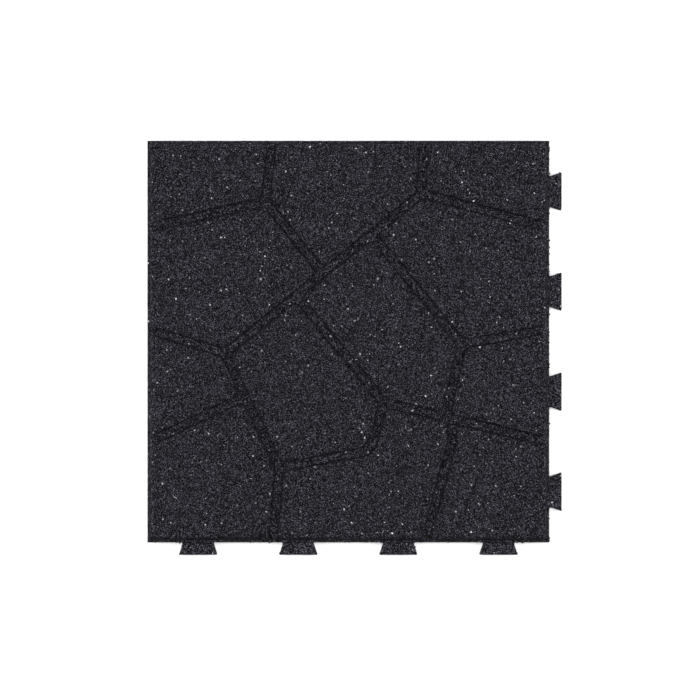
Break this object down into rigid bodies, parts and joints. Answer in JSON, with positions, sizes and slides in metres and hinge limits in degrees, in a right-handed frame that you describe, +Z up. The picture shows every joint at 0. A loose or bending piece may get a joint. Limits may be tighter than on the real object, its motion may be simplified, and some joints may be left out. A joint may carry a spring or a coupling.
{
  "type": "rubber paver",
  "caption": "Square moulded crumb rubber paver with a grooved flagstone walking face and dovetail edges that lock to the next pavers.",
  "frame": {"origin": "centre of the square body on its underside, where the paver rests on the ground", "axes": "+Z up through the walking face. Dovetail tabs stand out along +X and -Y, and the pockets that take the next pavers' tabs are along -X and +Y"},
  "size_m": [0.4193, 0.4193, 0.019],
  "materials": {
    "rubber_crumb": "matt bonded rubber crumb, near black with a few pale flecks"
  },
  "bodies": {
    "root": {"paver_tile": "rubber_crumb"}
  },
  "joints": []
}
